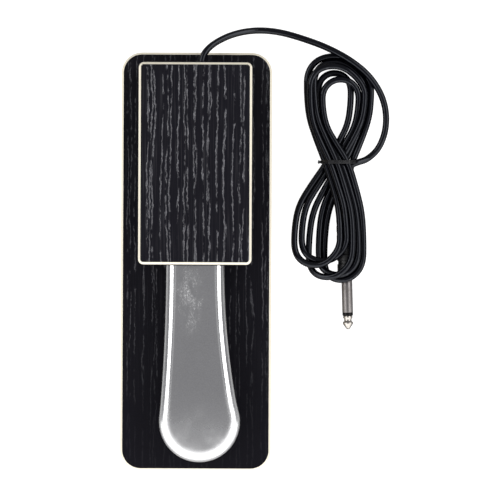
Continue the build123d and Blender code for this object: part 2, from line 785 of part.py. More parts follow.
# ---------------------------------------------------------------- hank and tie
# The spare cord is folded into a figure of eight that is tied at its waist. The hank is one
# plain solid of its outer shape: two flat loops, a thicker waist, and a bridge over the plug.
waist_x = 82.9
waist_y = 58.1
waist_half = 9.8
loop_height = 8.4
waist_height = 14.4
bridge_bottom = 2 * handle_radius + 0.2
bridge_height = 3.9
tie_thickness = 0.8
tie_half_length = 1.6
tie_gap = 0.05
lead_bend = (60.3, 79.5)
lead_bend_radius = 49.6

with BuildPart() as cord_hank:
    with BuildSketch() as upper_loop:
        with Locations((waist_x, waist_y)):
            Circle(waist_half)
        with Locations((82.8, 100.8)):
            Circle(20.2)
        make_hull()
        with Locations(lead_bend):
            Circle(lead_bend_radius - cord_radius - 0.7, mode=Mode.INTERSECT)
    with BuildSketch() as lower_loop:
        with Locations((waist_x, waist_y)):
            Circle(waist_half)
        with Locations((74.0, 14.0)):
            Circle(18.5)
        with Locations((80.0, 7.6)):
            Circle(19.6)
        make_hull()
    extrude(amount=loop_height)
    with BuildSketch():
        with Locations((waist_x, waist_y)):
            SlotOverall(36, 2 * waist_half - 1.4, rotation=90)
    extrude(amount=waist_height)
    with BuildSketch(Plane.XY.offset(bridge_bottom)):
        with Locations((80.0, 7.6)):
            Circle(19.4)
        with Locations((84.0, 40.0)):
            Circle(8.0)
        make_hull()
        with Locations((67.0, 10.0)):
            Rectangle(26.0, 90.0, mode=Mode.SUBTRACT)
    extrude(amount=bridge_height)
    with BuildSketch(Plane.XY.offset(loop_height)):
        with Locations((95.5, 20.0)):
            Rectangle(5.0, 16.0)
    extrude(amount=bridge_bottom - loop_height)
    # the two openings of the figure of eight
    with BuildSketch(Plane.XY.offset(-1)):
        with Locations((81.4, 98.4)):
            Circle(6.6)
        with Locations((82.0, 73.0)):
            Circle(1.2)
        make_hull()
    extrude(amount=2 * waist_height, mode=Mode.SUBTRACT)
    with BuildSketch(Plane.XY.offset(-1)):
        with Locations((79.2, 32.5)):
            Circle(2.2)
        with Locations((79.3, 10.0)):
            Circle(2.9)
        make_hull()
    extrude(amount=2 * waist_height, mode=Mode.SUBTRACT)
    # room for the plug that lies under the right-hand strands, from its strain relief on
    tunnel_half = handle_radius + 0.4
    with BuildSketch(plug_plane):
        with Locations((bridge_bottom / 2 - plug_start.Z - 1, 60)):
            Rectangle(bridge_bottom + 2, 120)
    extrude(amount=tunnel_half, both=True, mode=Mode.SUBTRACT)
    # the waist is drawn in where the tie goes round it
    with BuildSketch(Plane.XZ.offset(-waist_y - tie_half_length - tie_gap)):
        with Locations((waist_x, waist_height / 2)):
            Rectangle(4 * waist_half, 2 * waist_height)
            Rectangle(2 * waist_half - 0.8, waist_height - 2 * tie_thickness - 0.6, mode=Mode.SUBTRACT)
    extrude(amount=2 * (tie_half_length + tie_gap), mode=Mode.SUBTRACT)

with BuildPart() as cord_tie:
    with BuildSketch(Plane.XZ.offset(-waist_y - tie_half_length)):
        with Locations((waist_x, waist_height / 2)):
            Rectangle(2 * waist_half - 0.8 + 2 * (tie_gap + tie_thickness),
                      waist_height - 0.6 + 2 * tie_gap)
            Rectangle(2 * (waist_half - 0.4 + tie_gap), waist_height - 2 * tie_thickness - 0.6 + 2 * tie_gap,
                      mode=Mode.SUBTRACT)
    extrude(amount=2 * tie_half_length)

# ---------------------------------------------------------------- files
pieces = {
    "base_board": base_board,
    "base_laminate": base_laminate,
    "rubber_feet": rubber_feet,
    "foot_screws": foot_screws,
    "front_wall": front_wall,
    "rear_wall": rear_wall,
    "left_wall": left_wall,
    "right_wall": right_wall,
    "housing_top": housing_top,
    "housing_top_laminate": housing_top_laminate,
    "housing_film": housing_film,
    "housing_screws": housing_screws,
    "pivot_bracket": pivot_bracket,
    "bracket_screws": bracket_screws,
    "pivot_pin": pivot_pin,
    "pivot_clips": pivot_clips,
    "pivot_bushes": pivot_bushes,
    "pedal_lever": pedal_lever,
    "spring_seat": spring_seat,
    "return_spring": return_spring,
    "down_stop_bumper": down_stop_bumper,
    "up_stop_felt": up_stop_felt,
    "switch_body": switch_body,
    "switch_plunger": switch_plunger,
    "switch_terminals": switch_terminals,
    "switch_bracket": switch_bracket,
    "switch_screws": switch_screws,
    "plate_screws": plate_screws,
    "cable_grommet": cable_grommet,
    "cable_stub": cable_stub,
    "cable_clip": cable_clip,
    "clip_screw": clip_screw,
    "signal_core": signal_core,
    "return_core": return_core,
    "cord_lead": cord_lead,
    "cord_hank": cord_hank,
    "cord_tie": cord_tie,
    "plug_handle": plug_handle,
    "plug_sleeve": plug_sleeve,
    "plug_insulator": plug_insulator,
    "plug_tip": plug_tip,
}
os.makedirs("parts", exist_ok=True)
for label, piece in pieces.items():
    piece.part.label = label
    export_step(piece.part, f"parts/{label}.step")
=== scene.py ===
import json
from math import cos, pi, radians, sin

import bpy
import numpy as np
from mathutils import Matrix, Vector


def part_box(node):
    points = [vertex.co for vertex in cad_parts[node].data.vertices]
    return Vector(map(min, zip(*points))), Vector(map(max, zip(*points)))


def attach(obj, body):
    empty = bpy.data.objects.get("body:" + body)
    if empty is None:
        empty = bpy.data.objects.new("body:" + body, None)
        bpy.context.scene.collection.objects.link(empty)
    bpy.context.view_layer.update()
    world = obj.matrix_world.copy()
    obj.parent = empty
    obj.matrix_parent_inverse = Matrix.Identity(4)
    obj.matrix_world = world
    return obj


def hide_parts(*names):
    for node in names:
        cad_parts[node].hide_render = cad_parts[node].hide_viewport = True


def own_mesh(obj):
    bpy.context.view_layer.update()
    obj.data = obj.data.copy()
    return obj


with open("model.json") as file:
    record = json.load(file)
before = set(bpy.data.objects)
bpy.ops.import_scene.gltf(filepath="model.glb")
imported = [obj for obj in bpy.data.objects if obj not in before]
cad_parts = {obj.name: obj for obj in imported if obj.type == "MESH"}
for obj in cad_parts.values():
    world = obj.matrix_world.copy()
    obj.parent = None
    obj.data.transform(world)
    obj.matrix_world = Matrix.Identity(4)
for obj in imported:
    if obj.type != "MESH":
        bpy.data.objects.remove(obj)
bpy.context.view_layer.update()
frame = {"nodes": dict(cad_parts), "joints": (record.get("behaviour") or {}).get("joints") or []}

# ---------------------------------------------------------------- camera, floor and light
# The pedal lies on a white floor under a camera that looks straight down. Soft boxes hang at
# both sides, and three tall ones stand round the toe, under an even grey sky. The floor is
# plain white as the camera sees it, and a dimmer grey to the light.
camera_data = bpy.data.cameras.new("camera")
camera_data.lens = 177.5
camera_data.sensor_width = 36.0
camera = bpy.data.objects.new("camera", camera_data)
camera.location = (0.0314, 0.0069, 1.45)
camera.rotation_euler = (0, 0, radians(0.25))
bpy.context.scene.collection.objects.link(camera)
bpy.context.scene.camera = camera


def clear_selection():
    """Leaves nothing selected, so that the next operator acts on its own piece only."""
    if bpy.context.object and bpy.context.object.mode == "EDIT":
        bpy.ops.object.mode_set(mode="OBJECT")
    bpy.ops.object.select_all(action="DESELECT")


def soft_box(name, place, aim, width, length, radiance, shape="RECTANGLE"):
    """A plain light at place that faces aim, rectangular or oval."""
    light = bpy.data.lights.new(name, "AREA")
    light.shape = shape
    light.size = width
    light.size_y = length
    light.energy = radiance * pi * width * length * (pi / 4 if shape == "ELLIPSE" else 1)
    box = bpy.data.objects.new(name, light)
    box.location = place
    box.rotation_euler = (Vector(aim) - Vector(place)).to_track_quat("-Z", "Y").to_euler()
    bpy.context.scene.collection.objects.link(box)


for name, side in (("left", -1), ("right", 1)):
    soft_box(name + "_light", (side * 1.05, 0.45, 0.95), (0, 0.2, 0), width=1.6, length=0.78,
             radiance=2.6, shape="ELLIPSE")
    soft_box(name + "_strip", (side * 0.34, 0.40, 0.95), (0, 0.3, 0), width=1.2, length=0.22,
             radiance=0.16, shape="ELLIPSE")
for name, turn in (("front_light", 0), ("front_left_light", -52), ("front_right_light", 52)):
    place = Vector((sin(radians(turn)), -cos(radians(turn)), 0.85))
    soft_box(name, place, (0, 0, 0.85), width=1.1, length=1.7, radiance=1.6)

world = bpy.data.worlds.new("sky")
world.use_nodes = True
world.node_tree.nodes["Background"].inputs["Color"].default_value = (0.26, 0.26, 0.27, 1)
bpy.context.scene.world = world
bpy.context.scene.view_settings.view_transform = "Standard"

clear_selection()
bpy.ops.mesh.primitive_plane_add(size=9.0, location=(0, 0, -0.0002))
floor = bpy.context.object
floor.name = "floor"
floor_paint = bpy.data.materials.new("floor_paint")
floor_paint.use_nodes = True
floor_shader = floor_paint.node_tree.nodes["Principled BSDF"]
floor_shader.inputs["Base Color"].default_value = (0.4, 0.4, 0.4, 1)
floor_shader.inputs["Roughness"].default_value = 0.9
floor_shader.inputs["Specular IOR Level"].default_value = 0.0
floor_shader.inputs["Emission Color"].default_value = (1, 1, 1, 1)
seen = floor_paint.node_tree.nodes.new("ShaderNodeLightPath").outputs["Is Camera Ray"]
floor_paint.node_tree.links.new(seen, floor_shader.inputs["Emission Strength"])
floor.data.materials.append(floor_paint)

# ---------------------------------------------------------------- cord
# A thin black PVC lead. It drops from the rear wall to the floor, comes round to the tie,
# and all its spare length is folded into a figure of eight that runs over the plug's grip.
cord_radius = 0.0019
lead_route = [(0.0026, 0.1106, 0.0195), (0.0026, 0.1176, 0.0195), (0.0060, 0.1236, 0.0184),
              (0.0128, 0.1290, 0.0142), (0.0224, 0.1336, 0.0086), (0.0345, 0.1360, 0.0039),
              (0.0480, 0.1352, 0.0019), (0.0625, 0.1310, 0.0027), (0.0765, 0.1256, 0.0059),
              (0.0900, 0.1184, 0.0060), (0.1016, 0.1090, 0.0053), (0.1099, 0.0956, 0.0025),
              (0.1116, 0.0806, 0.0019), (0.1076, 0.0675, 0.0019), (0.1002, 0.0603, 0.0024),
              (0.0936, 0.0586, 0.0032)]
lead_end = (0.0880, 0.0560, 0.0034)

# The plug lies on the floor, turned a little, with its grip under the hank.
plug_start = Vector((0.0867, 0.0410, 0.00535))
plug_tilt = radians(1.7)
plug_line = Vector((sin(plug_tilt), -cos(plug_tilt), 0))
relief_length = 0.0135
relief_radius = 0.0025
relief_taper = 0.0018
grip_length = 0.0347
grip_radius = 0.00535
metal_radius = 0.0032
plug_length = 0.080
lift_over_plug = 0.8
plug_clearance = 0.0001

# Places of the five strands, inner to outer: at the waist, and at the sides of the loops.
waist_y = 0.0580
waist_front = [0.0883, 0.0852, 0.0821, 0.0790, 0.0758]
waist_back = [0.0766, 0.0800, 0.0834, 0.0868, 0.0905]
top_left = [0.0733, 0.0706, 0.0689, 0.0666, 0.0644]
top_right = [0.0902, 0.0950, 0.0982, 0.0994, 0.1013]
bottom_left = [0.0746, 0.0719, 0.0659, 0.0616, 0.0575]
bottom_right = [0.0849, 0.0878, 0.0910, 0.0944, 0.0976]

# The turns in the order that they were folded: the left-hand strand of both loops, the
# right-hand strand of the top loop, where each loop ends, and how high it starts.
turns = [dict(left=1, top_right=2, low=-0.0100, high=0.1070, low_z=0.002, high_z=0.008),
         dict(left=4, top_right=3, low=0.0006, high=0.1148, low_z=0.008, high_z=0.005),
         dict(left=3, top_right=4, low=-0.0090, high=0.1178, low_z=0.006, high_z=0.004),
         dict(left=2, top_right=1, low=-0.0070, high=0.1110, low_z=0.004, high_z=0.003),
         dict(left=5, top_right=5, low=-0.0018, high=0.1204, low_z=0.009, high_z=0.002)]
# Heights of the strands at the waist, behind and in front, and where a loop rises over the
# grip. Its round end leans to one side.
back_z = 0.0032
front_z = 0.0115
over_grip_z = 0.0135
over_left_z = 0.004
first_lean = 0.15
outer_lean = 0.25


def blend_values(first, last, share):
    """A value on the way from first to last."""
    return first + (last - first) * share


def loop_points(start_x, left, right, end_x, end_y, heights, lean):
    """One loop of the hank: from the waist out along one side, round its end and back."""
    start_z, left_z, right_z, end_z = heights
    inward = 1 if end_y < waist_y else -1
    half = (right - left) / 2
    corner = 2 - 2 ** 0.5
    first = corner * (half * (1 - lean))
    last = corner * (half * (1 + lean))
    spreading = ((0.24, 0.52), (0.43, 0.88))
    out = [(blend_values(start_x, left, spread), blend_values(waist_y, end_y, share),
            blend_values(start_z, left_z, share)) for share, spread in spreading]
    back = [(blend_values(end_x, right, spread), blend_values(waist_y, end_y, share),
             blend_values(end_z, right_z, share)) for share, spread in reversed(spreading)]
    shoulder = out[-1][1]
    return out + [(left, (shoulder + end_y + inward * first) / 2, left_z),
                  (left, end_y + inward * first, left_z),
                  (left + first, end_y, left_z),
                  (right - last, end_y, right_z),
                  (right, end_y + inward * last, right_z),
                  (right, (shoulder + end_y + inward * last) / 2, right_z)] + back


route = lead_route + [lead_end]
for turn in turns:
    left = turn["left"]
    start_x = lead_end[0] if left == 1 else waist_back[5 - left]
    waist_x = waist_front[left - 1]
    if left > 1:
        route.append((start_x, waist_y, back_z))
    low_right_z = max(turn["low_z"] + over_left_z, over_grip_z)
    route += loop_points(start_x, bottom_left[left - 1], bottom_right[5 - left], waist_x,
                         turn["low"], (back_z, turn["low_z"], low_right_z, front_z), first_lean)
    route.append((waist_x, waist_y, front_z))
    right = turn["top_right"]
    route += loop_points(waist_x, top_left[left - 1], top_right[right - 1], waist_back[right - 1],
                         turn["high"], (front_z, turn["high_z"], turn["high_z"], back_z),
                         outer_lean if left > 2 else 0.0)
route += [(0.0902, 0.0580, 0.0030), (0.0892, 0.0510, 0.0026), (0.0876, 0.0460, 0.0042),
          (0.08685, 0.0426, 0.00535), (0.08666, 0.0400, 0.00535)]
route = np.array(route)
settled_from = len(lead_route) - 1
settled_to = len(route) - 3


def spline_weights(count, steps):
    """Rows of weights that turn the control points into points along a quadratic spline."""
    rows = []
    for span in range(count - 2):
        for step in range(steps):
            t = step / steps
            weights = [(1 - t) ** 2 / 2, (1 + 2 * t - 2 * t * t) / 2, t * t / 2]
            if span == 0:
                weights = [(1 - t) ** 2, 2 * t - 1.5 * t * t, t * t / 2]
            if span == count - 3:
                weights = [(1 - t) ** 2 / 2, 0.5 + t - 1.5 * t * t, t * t]
            row = np.zeros(count)
            row[span:span + 3] = weights
            rows.append(row)
    rows.append(np.eye(count)[-1])
    return np.array(rows)


def grip_push(points):
    """How far each point moves to lie on the plug, which is thinner before and after its grip."""
    offset = points - np.array(plug_start)
    along = offset @ np.array(plug_line)
    tapered = relief_radius + relief_taper * along / relief_length
    radius = np.where(along < relief_length, tapered, grip_radius)
    radius = np.where(along > relief_length + grip_length, metal_radius, radius)
    beside = offset - np.outer(along, np.array(plug_line))
    distance = np.linalg.norm(beside, axis=1)
    depth = np.maximum(radius + cord_radius + plug_clearance - distance, 0)
    depth[(along < 0) | (along > plug_length)] = 0
    upward = beside / np.maximum(distance, 1e-6)[:, None] + np.array((0, 0, lift_over_plug))
    upward /= np.linalg.norm(upward, axis=1)[:, None]
    return upward * depth[:, None]


# The strands sink under their own weight while they are kept a diameter apart, off the
# floor, the tie and the plug, until they lie on one another as folded cord does. They keep
# near the places above in plan, and resist any bend that is not drawn there.
rounds = 500
resting_rounds = 60
sinking = 0.00005
near_samples = 6
sideways_share = 0.6
step_size = 1.3
level_stiffness = 0.10
plan_stiffness = 0.08
plan_hold = 0.03
tie_reach = 0.003
tie_lift = 0.0013
weights = spline_weights(len(route), 4)
total_weight = weights.sum(0)[:, None]
sample = np.arange(len(weights))
same_stretch = np.abs(sample[:, None] - sample[None, :]) <= near_samples


def evened(points):
    """How far each point stands off the middle of its two neighbours."""
    offset = np.zeros_like(points)
    offset[1:-1] = (points[:-2] + points[2:]) / 2 - points[1:-1]
    return offset


laid = route.copy()
drawn = evened(route)
for attempt in range(rounds):
    if attempt < rounds - resting_rounds:
        laid[settled_from:settled_to, 2] -= sinking
    points = weights @ laid
    apart = points[:, None, :] - points[None, :, :]
    distance = np.linalg.norm(apart, axis=2)
    one, other = np.nonzero((distance < 2 * cord_radius) & ~same_stretch)
    gap = distance[one, other][:, None]
    push = apart[one, other] / np.maximum(gap, 1e-7) * (2 * cord_radius - gap) / 2
    push[:, :2] *= sideways_share
    shift = np.zeros_like(points)
    touches = np.zeros(len(points))
    np.add.at(shift, one, push)
    np.add.at(touches, one, 1)
    shift /= np.sqrt(np.maximum(touches, 1))[:, None]
    shift += grip_push(points)
    ground = np.where(np.abs(points[:, 1] - waist_y) < tie_reach, tie_lift, 0) + cord_radius
    shift[:, 2] += np.maximum(ground - points[:, 2], 0)
    change = weights.T @ shift / total_weight * step_size
    bend = evened(laid)
    change[:, 2] += level_stiffness * bend[:, 2]
    change[:, :2] += (plan_hold * (route - laid)[:, :2]
                      + plan_stiffness * (bend - drawn)[:, :2])
    laid[settled_from:settled_to] += change[settled_from:settled_to]
    laid[:, 2] = np.maximum(laid[:, 2], cord_radius)


def new_cord(name, radius, steps_along, steps_round):
    """A round cord with no strands in it yet."""
    curve = bpy.data.curves.new(name, "CURVE")
    curve.dimensions = "3D"
    curve.resolution_u = steps_along
    curve.bevel_depth = radius
    curve.bevel_resolution = steps_round
    curve.use_fill_caps = True
    piece = bpy.data.objects.new(name, curve)
    bpy.context.scene.collection.objects.link(piece)
    return piece


def add_strand(piece, points, thickness=1.0, closed=False):
    """One strand of a cord, a quadratic spline on these control points."""
    strand = piece.data.splines.new("NURBS")
    strand.points.add(len(points) - 1)
    for point, place in zip(strand.points, points):
        point.co = (*place, 1.0)
        point.radius = thickness
    strand.order_u = 3
    strand.use_cyclic_u = closed
    strand.use_endpoint_u = not closed


cord = new_cord("cord", cord_radius, steps_along=8, steps_round=4)
add_strand(cord, laid)

kinds = {3: "NodeSocketVector", 4: "NodeSocketColor"}
look = {"Colour": "NodeSocketColor", "Roughness": "NodeSocketFloat", "Height": "NodeSocketFloat"}


def new_group(name, inputs, outputs=look):
    """A shader node group, and its input and output nodes. Its inputs' values tell their kinds."""
    group = bpy.data.node_groups.new(name, "ShaderNodeTree")
    for socket, value in inputs.items():
        kind = kinds[len(value)] if isinstance(value, tuple) else "NodeSocketFloat"
        added = group.interface.new_socket(socket, in_out="INPUT", socket_type=kind)
        added.default_value = value
    for socket, kind in outputs.items():
        group.interface.new_socket(socket, in_out="OUTPUT", socket_type=kind)
    return group, group.nodes.new("NodeGroupInput"), group.nodes.new("NodeGroupOutput")


def put(tree, kind, feeds=(), **settings):
    """Adds a node, gives it its settings, and feeds its sockets with values or other sockets."""
    node = tree.nodes.new(kind)
    for name, value in settings.items():
        setattr(node, name, value)
    for socket, value in dict(feeds).items():
        if isinstance(value, bpy.types.NodeSocket):
            tree.links.new(value, node.inputs[socket])
        else:
            node.inputs[socket].default_value = value
    return node


def math_node(tree, operation, value, *others):
    """The result of an operation on one value, or on it and each of the others in turn."""
    for other in others or (0.0,):
        value = put(tree, "ShaderNodeMath", {0: value, 1: other}, operation=operation).outputs[0]
    return value


def times(tree, first, second):
    """The product of two values."""
    return math_node(tree, "MULTIPLY", first, second)


def band(tree, value, low, high, to_low=0.0, to_high=1.0):
    """Maps value smoothly from low..high to to_low..to_high."""
    feeds = {"Value": value, "From Min": low, "From Max": high, "To Min": to_low, "To Max": to_high}
    return put(tree, "ShaderNodeMapRange", feeds, interpolation_type="SMOOTHSTEP").outputs[0]


def mix_colour(tree, share, first, second):
    """A colour between two colours."""
    return put(tree, "ShaderNodeMix", {0: share, 6: first, 7: second}, data_type="RGBA").outputs[2]


def noise(tree, place, scale, detail=2.0, roughness=0.5):
    """Noise from 0 to 1 at a place, in features of 1 / scale metres."""
    feeds = {"Vector": place, "Scale": scale, "Detail": detail, "Roughness": roughness}
    return put(tree, "ShaderNodeTexNoise", feeds).outputs["Fac"]


def stretched(tree, place, x, y, z):
    """A place with each axis drawn out or squeezed."""
    feeds = {"Vector": place, "Scale": (x, y, z)}
    return put(tree, "ShaderNodeMapping", feeds).outputs[0]


# Uneven colour, sheen and a fine skin, which each plastic and rubber has at its own scale.
surface, given, made = new_group(
    "uneven_surface",
    {"Place": (0, 0, 0), "Colour": (0.5, 0.5, 0.5, 1), "Worn Colour": (0.5, 0.5, 0.5, 1),
     "Patch Size": 0.01, "Grit Size": 0.0005, "Sheen Low": 0.3, "Sheen High": 0.5})
patch = noise(surface, given.outputs["Place"],
              math_node(surface, "DIVIDE", 1.0, given.outputs["Patch Size"]), 3.0)
grit = noise(surface, given.outputs["Place"],
             math_node(surface, "DIVIDE", 1.0, given.outputs["Grit Size"]), 2.0)
both = math_node(surface, "ADD", times(surface, patch, 0.7), times(surface, grit, 0.3))
worn = band(surface, both, 0.35, 0.68)
surface.links.new(mix_colour(surface, worn, given.outputs["Colour"], given.outputs["Worn Colour"]),
                  made.inputs["Colour"])
sheen = put(surface, "ShaderNodeMapRange", {"Value": patch, "From Min": 0.3, "From Max": 0.7,
                                            "To Min": given.outputs["Sheen Low"],
                                            "To Max": given.outputs["Sheen High"]}).outputs[0]
surface.links.new(sheen, made.inputs["Roughness"])
surface.links.new(grit, made.inputs["Height"])


def new_material(name, **constants):
    """A material, its node tree, its shader with these values set, and the place on the piece."""
    material = bpy.data.materials.new(name)
    material.use_nodes = True
    tree = material.node_tree
    shader = tree.nodes["Principled BSDF"]
    for socket, value in constants.items():
        shader.inputs[socket.replace("_", " ")].default_value = value
    place = tree.nodes.new("ShaderNodeTexCoord").outputs["Object"]
    return material, tree, shader, place


def grouped(name, group, values, bump, bump_depth, round_walls=False, **constants):
    """A material that takes its colour, roughness and fine relief from one node group. Round
    walls have their pattern turned, to run level round them."""
    material, tree, shader, place = new_material(name, **constants)
    if round_walls:
        ways = put(tree, "ShaderNodeSeparateXYZ", {0: place})
        round_way = math_node(tree, "ADD", ways.outputs["X"], ways.outputs["Y"])
        place = put(tree, "ShaderNodeCombineXYZ", {0: ways.outputs["Z"], 1: round_way}).outputs[0]
    effect = put(tree, "ShaderNodeGroup", {"Place": place, **values}, node_tree=group)
    relief = put(tree, "ShaderNodeBump", {"Height": effect.outputs["Height"], "Strength": bump,
                                          "Distance": bump_depth})
    tree.links.new(effect.outputs["Colour"], shader.inputs["Base Color"])
    tree.links.new(effect.outputs["Roughness"], shader.inputs["Roughness"])
    tree.links.new(relief.outputs[0], shader.inputs["Normal"])
    return material


def skinned(name, colour, worn, patch_size, grit_size, sheen, bump, **constants):
    """A material whose whole look is the uneven surface: plastics and rubbers."""
    return grouped(name, surface,
                   {"Colour": (*colour, 1), "Worn Colour": (*worn, 1), "Patch Size": patch_size,
                    "Grit Size": grit_size, "Sheen Low": sheen[0], "Sheen High": sheen[1]},
                   bump, grit_size * 0.4, **constants)


black_pvc = skinned("black_pvc", (0.0006, 0.0006, 0.0016), (0.0016, 0.0015, 0.0034), 0.018,
                    0.0009, (0.05, 0.10), 0.10, Specular_IOR_Level=0.36,
                    Specular_Tint=(0.86, 0.90, 1.0, 1.0))
cord.data.materials.append(black_pvc)
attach(cord, "base")
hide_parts("cord_lead", "cord_hank")

# ---------------------------------------------------------------- tie
# A plastic-covered wire tie round the waist of the hank: a flat strip with a rib along each
# edge and one in the middle, pulled tight and twisted off in a short tail on the left.
tie_y = 0.0586
tie_wire = 0.00045
tie_rib_gap = 0.0008
tie_half_width = 0.0016
tie_right = waist_back[-1] + 0.0012
tie_steps = 56
tail_steps = 11
tail_pitch = 0.00022
tail_turn = 0.75
tail_spread = 0.00045
tail_flare = 0.00016
tail_flare_from = 7
strand_line = weights @ laid
section = strand_line[(np.abs(strand_line[:, 1] - tie_y) < tie_half_width)
                      & (strand_line[:, 0] < tie_right)]

tie = new_cord("tie", tie_wire, steps_along=3, steps_round=3)
for rib, thickness in ((-1, 0.6), (0, 1.0), (1, 0.6)):
    around = []
    for step in range(tie_steps):
        angle = 2 * pi * step / tie_steps
        outward = np.array((cos(angle), 0, sin(angle)))
        outermost = section[np.argmax(section @ outward)]
        place = outermost + outward * (cord_radius + tie_wire)
        around.append((place[0], tie_y + rib * tie_rib_gap, place[2]))
    add_strand(tie, around, thickness, closed=True)

tail_start = section[np.argmin(section[:, 0])]
for wire in (0, pi):
    twist = []
    for step in range(tail_steps):
        along = step * tail_pitch
        angle = wire + step * tail_turn
        spread = tail_spread + max(step - tail_flare_from, 0) * tail_flare
        twist.append((tail_start[0] - cord_radius - along, tie_y + spread * cos(angle),
                      tail_start[2] + spread * sin(angle)))
    add_strand(tie, twist, 0.95)
tie.data.materials.append(skinned("tie_pvc", (0.004, 0.004, 0.005), (0.010, 0.010, 0.012), 0.006,
                                  0.0006, (0.16, 0.26), 0.3))
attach(tie, "base")
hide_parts("cord_tie")

# ---------------------------------------------------------------- plug
# A two-pole jack plug, moulded onto the cord: a ribbed grip with a tapered strain relief,
# a nickel-plated sleeve, a black ring and a turned tip on a rod.
plug_radius = 0.003175
sleeve_start = relief_length + grip_length
ring_start = sleeve_start + 0.0223
tip_start = sleeve_start + 0.0241
ring_radius = plug_radius - 0.00005
first_rib = relief_length + 0.0052
rib_count = 5
rib_pitch = 0.0056
rib_depth = 0.0005
rib_width = 0.0018
rib_slope = 0.0002
end_round = 0.0008


def draw_out(x, y, z):
    """Extrudes what is selected by this much."""
    bpy.ops.mesh.extrude_region_move(TRANSFORM_OT_translate={"value": (x, y, z)})


def face_outwards():
    """Ends edit mode with every face of the piece turned outwards."""
    bpy.ops.mesh.select_all(action="SELECT")
    bpy.ops.mesh.normals_make_consistent(inside=False)
    bpy.ops.object.mode_set(mode="OBJECT")


def round_edges(piece, width, segments, angle):
    """Rounds each edge where the piece turns by more than angle, in degrees."""
    rounding = piece.modifiers.new("rounding", "BEVEL")
    rounding.width = width
    rounding.segments = segments
    rounding.limit_method = "ANGLE"
    rounding.angle_limit = radians(angle)
    bpy.ops.object.modifier_apply(modifier="rounding")


def turned(name, profile, edge_round):
    """A piece turned to a profile of (distance along the plug, radius), laid on the plug's line."""
    clear_selection()
    first_along, first_radius = profile[0]
    bpy.ops.mesh.primitive_circle_add(vertices=64, radius=first_radius, fill_type="NGON",
                                      location=(0, 0, 0))
    piece = bpy.context.object
    piece.name = name
    bpy.ops.object.mode_set(mode="EDIT")
    bpy.ops.mesh.select_all(action="SELECT")
    for (along, radius), (next_along, next_radius) in zip(profile, profile[1:]):
        draw_out(0, 0, next_along - along)
        share = next_radius / radius
        bpy.ops.transform.resize(value=(share, share, 1),
                                 center_override=(0, 0, next_along - first_along))
    face_outwards()
    round_edges(piece, edge_round, 3, 35)
    piece.location = plug_start + plug_line * first_along
    piece.rotation_euler = plug_line.to_track_quat("Z", "Y").to_euler()
    bpy.ops.object.transform_apply(location=True, rotation=True, scale=True)
    bpy.ops.object.shade_smooth_by_angle(angle=radians(32))
    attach(piece, "base")
    return piece


grip_profile = [(0.0, relief_radius), (relief_length, 0.0043),
                (relief_length + 0.0012, grip_radius)]
for rib in range(rib_count):
    middle = first_rib + rib * rib_pitch
    grip_profile += [(middle - rib_width / 2 - rib_slope, grip_radius),
                     (middle - rib_width / 2, grip_radius - rib_depth),
                     (middle + rib_width / 2, grip_radius - rib_depth),
                     (middle + rib_width / 2 + rib_slope, grip_radius)]
grip_profile += [(sleeve_start - end_round, grip_radius), (sleeve_start, grip_radius - end_round)]
plug_grip = turned("plug_grip", grip_profile, 0.00015)
plug_grip.data.materials.append(
    skinned("grip_pvc", (0.005, 0.005, 0.006), (0.011, 0.011, 0.012), 0.009, 0.0004,
            (0.38, 0.55), 0.35))
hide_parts("plug_handle")

# Fine turning marks round a plated metal part, over faint clouds in the plate.
plating, given, made = new_group(
    "turned_plate",
    {"Place": (0, 0, 0), "Colour": (0.8, 0.8, 0.8, 1), "Dull Colour": (0.6, 0.6, 0.6, 1),
     "Mark Size": 0.0004, "Polish": 0.12})
mark_rate = math_node(plating, "DIVIDE", 1.0, given.outputs["Mark Size"])
marks = noise(plating, stretched(plating, given.outputs["Place"], 0.04, 1.0, 0.04),
              mark_rate, 3.0)
clouds = noise(plating, given.outputs["Place"], 160.0, 4.0, 0.6)
plating.links.new(mix_colour(plating, band(plating, clouds, 0.45, 0.75), given.outputs["Colour"],
                             given.outputs["Dull Colour"]), made.inputs["Colour"])
dulled = math_node(plating, "ADD", times(plating, band(plating, clouds, 0.35, 0.7), 0.12),
                   times(plating, marks, 0.10), given.outputs["Polish"])
plating.links.new(dulled, made.inputs["Roughness"])
plating.links.new(marks, made.inputs["Height"])


def plated(name, colour, dull, mark_size, polish, bump):
    """A turned or drawn metal part with a bright plate."""
    return grouped(name, plating,
                   {"Colour": (*colour, 1), "Dull Colour": (*dull, 1), "Mark Size": mark_size,
                    "Polish": polish},
                   bump, mark_size * 0.2, Metallic=1.0)


plug_sleeve = turned("plug_barrel", [(sleeve_start, plug_radius), (ring_start, plug_radius)],
                     0.00018)
plug_sleeve.data.materials.append(
    plated("nickel", (0.25, 0.235, 0.23), (0.17, 0.155, 0.145), 0.0005, 0.30, 0.12))
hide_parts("plug_sleeve")

plug_ring = turned("plug_ring", [(ring_start, ring_radius), (tip_start, ring_radius)], 0.0001)
plug_ring.data.materials.append(
    skinned("ring_plastic", (0.002, 0.002, 0.002), (0.005, 0.005, 0.005), 0.003, 0.0003,
            (0.3, 0.45), 0.2, Specular_IOR_Level=0.2))
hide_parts("plug_insulator")

tip_profile = [(0, 0.0026), (0.0010, 0.0029), (0.0022, 0.0022), (0.0030, 0.0022),
               (0.0040, plug_radius - 0.0001), (0.0044, plug_radius),
               (0.0048, plug_radius - 0.0001), (0.0070, 0.00160), (0.0078, 0.00090),
               (0.0081, 0.00045), (0.0082, 0.00010)]
plug_point = turned("plug_point", [(tip_start + along, radius) for along, radius in tip_profile],
                    0.00012)
plug_point.data.materials.append(
    plated("tip_plate", (0.52, 0.49, 0.45), (0.36, 0.33, 0.30), 0.0004, 0.16, 0.12))
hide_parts("plug_tip")

# ---------------------------------------------------------------- base
# A fibreboard base, faced on top with black open-grain laminate. Its bevelled edge is left
# raw and sanded. Four rubber feet are screwed on underneath.

